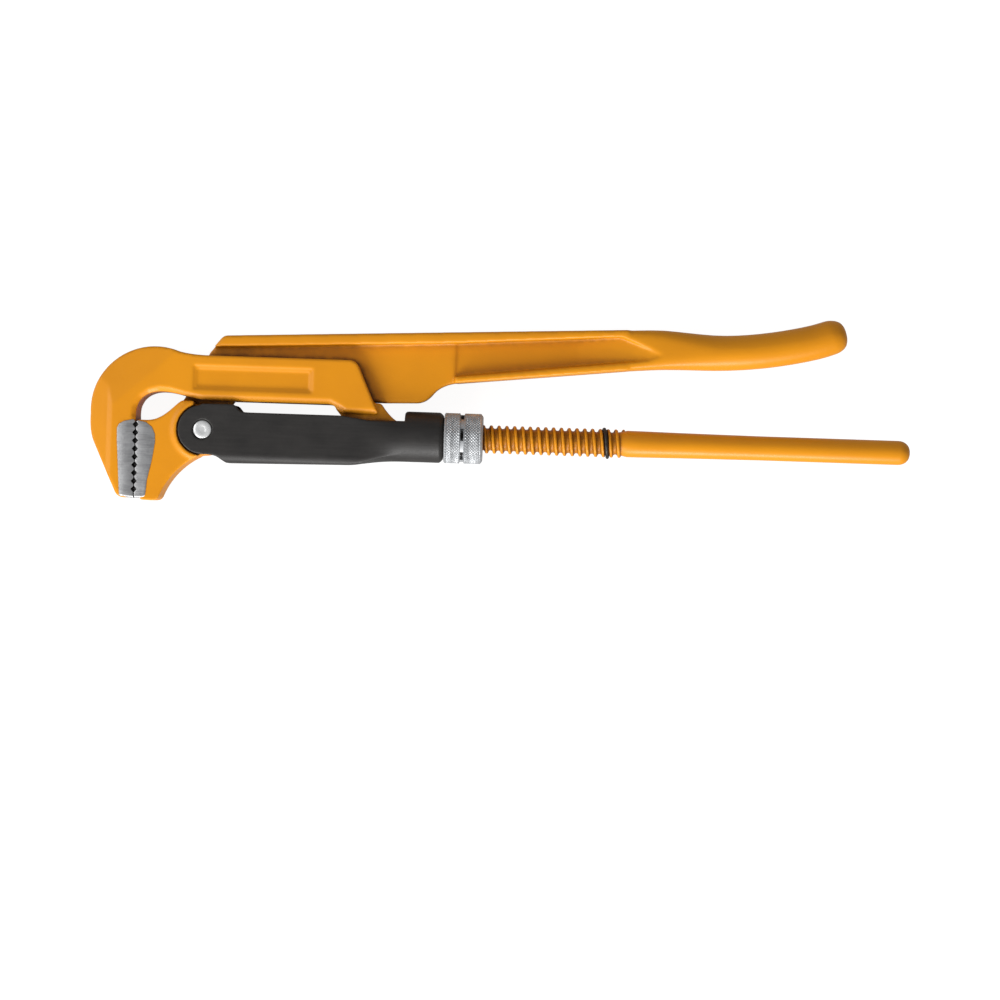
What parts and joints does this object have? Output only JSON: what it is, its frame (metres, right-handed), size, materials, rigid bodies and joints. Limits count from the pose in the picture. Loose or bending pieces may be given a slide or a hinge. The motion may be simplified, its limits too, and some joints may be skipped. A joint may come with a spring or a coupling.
{
  "type": "pipe wrench",
  "caption": "Pipe wrench with 90 degree toothed jaws: a slotted hook arm on a screw spindle, a lever with a beam handle, a black link and a captive knurled nut.",
  "frame": {"origin": "centre of the bounding box's underside, with the tool lying on its side", "axes": "+X along the screw spindle from the jaws to the handle ends, +Y from the spindle to the upper handle, +Z across the tool, up from the surface that it lies on"},
  "size_m": [0.4198, 0.1038, 0.026],
  "materials": {
    "paint": "orange-yellow powder paint, semi-gloss",
    "blackened_steel": "black satin",
    "bright_steel": "bright peened steel",
    "zinc_plate": "zinc plated, knurled",
    "spring_wire": "black spring wire"
  },
  "bodies": {
    "hook_arm": {"hook_arm": "paint", "thread_stop_ring": "spring_wire"},
    "link": {"link": "blackened_steel", "pivot_rivet": "bright_steel"},
    "lever": {"lever": "paint"},
    "nut": {"adjusting_nut": "zinc_plate", "nut_retaining_ring": "spring_wire"}
  },
  "joints": [
    {"name": "jaw_slide", "type": "slide", "parent": "hook_arm", "child": "link", "axis": [1, 0, 0], "range_m": [0, 0.048]},
    {"name": "lever_swing", "type": "hinge", "parent": "link", "child": "lever", "pos_m": [-0.1522, -0.01489, 0.013], "axis": [0, 0, 1], "range_deg": [0, 12]},
    {"name": "nut_turn", "type": "hinge", "parent": "link", "child": "nut", "pos_m": [-0.018, -0.01489, 0.013], "axis": [1, 0, 0], "range_deg": [0, 4325]}
  ],
  "couplings": [
    {"joint": "nut_turn", "follows": "jaw_slide", "rad_per_m": 1570.8}
  ]
}
